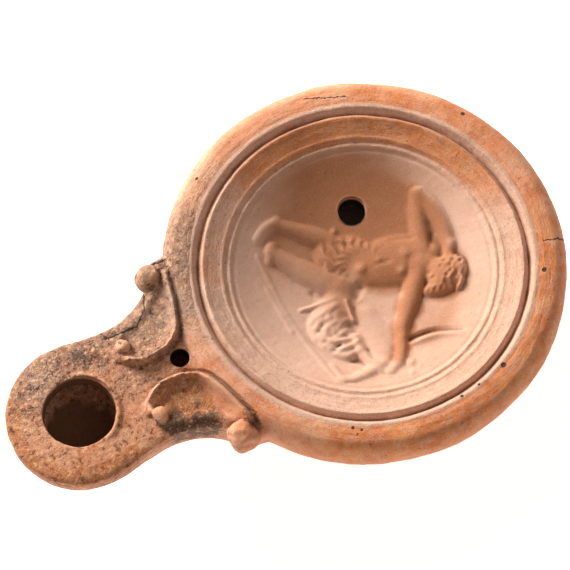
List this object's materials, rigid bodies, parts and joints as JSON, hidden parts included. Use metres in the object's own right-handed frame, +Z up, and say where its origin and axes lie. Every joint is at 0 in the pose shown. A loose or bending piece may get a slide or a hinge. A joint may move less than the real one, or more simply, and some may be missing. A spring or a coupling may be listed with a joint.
{
  "type": "roman oil lamp",
  "caption": "Round mould-made terracotta oil lamp with a sunk relief disc, a rounded nozzle and volutes, hollow and open at its wick, air and filling holes.",
  "frame": {"origin": "centre of the flat base's underside", "axes": "+X along the nozzle, away from the body; +Z up, away from the base; +Y to the nozzle's left"},
  "size_m": [0.1127, 0.0766, 0.028],
  "materials": {
    "terracotta": "matte low-fired clay, worn, sooted round the nozzle"
  },
  "bodies": {
    "root": {"lamp_body": "terracotta"}
  },
  "joints": []
}
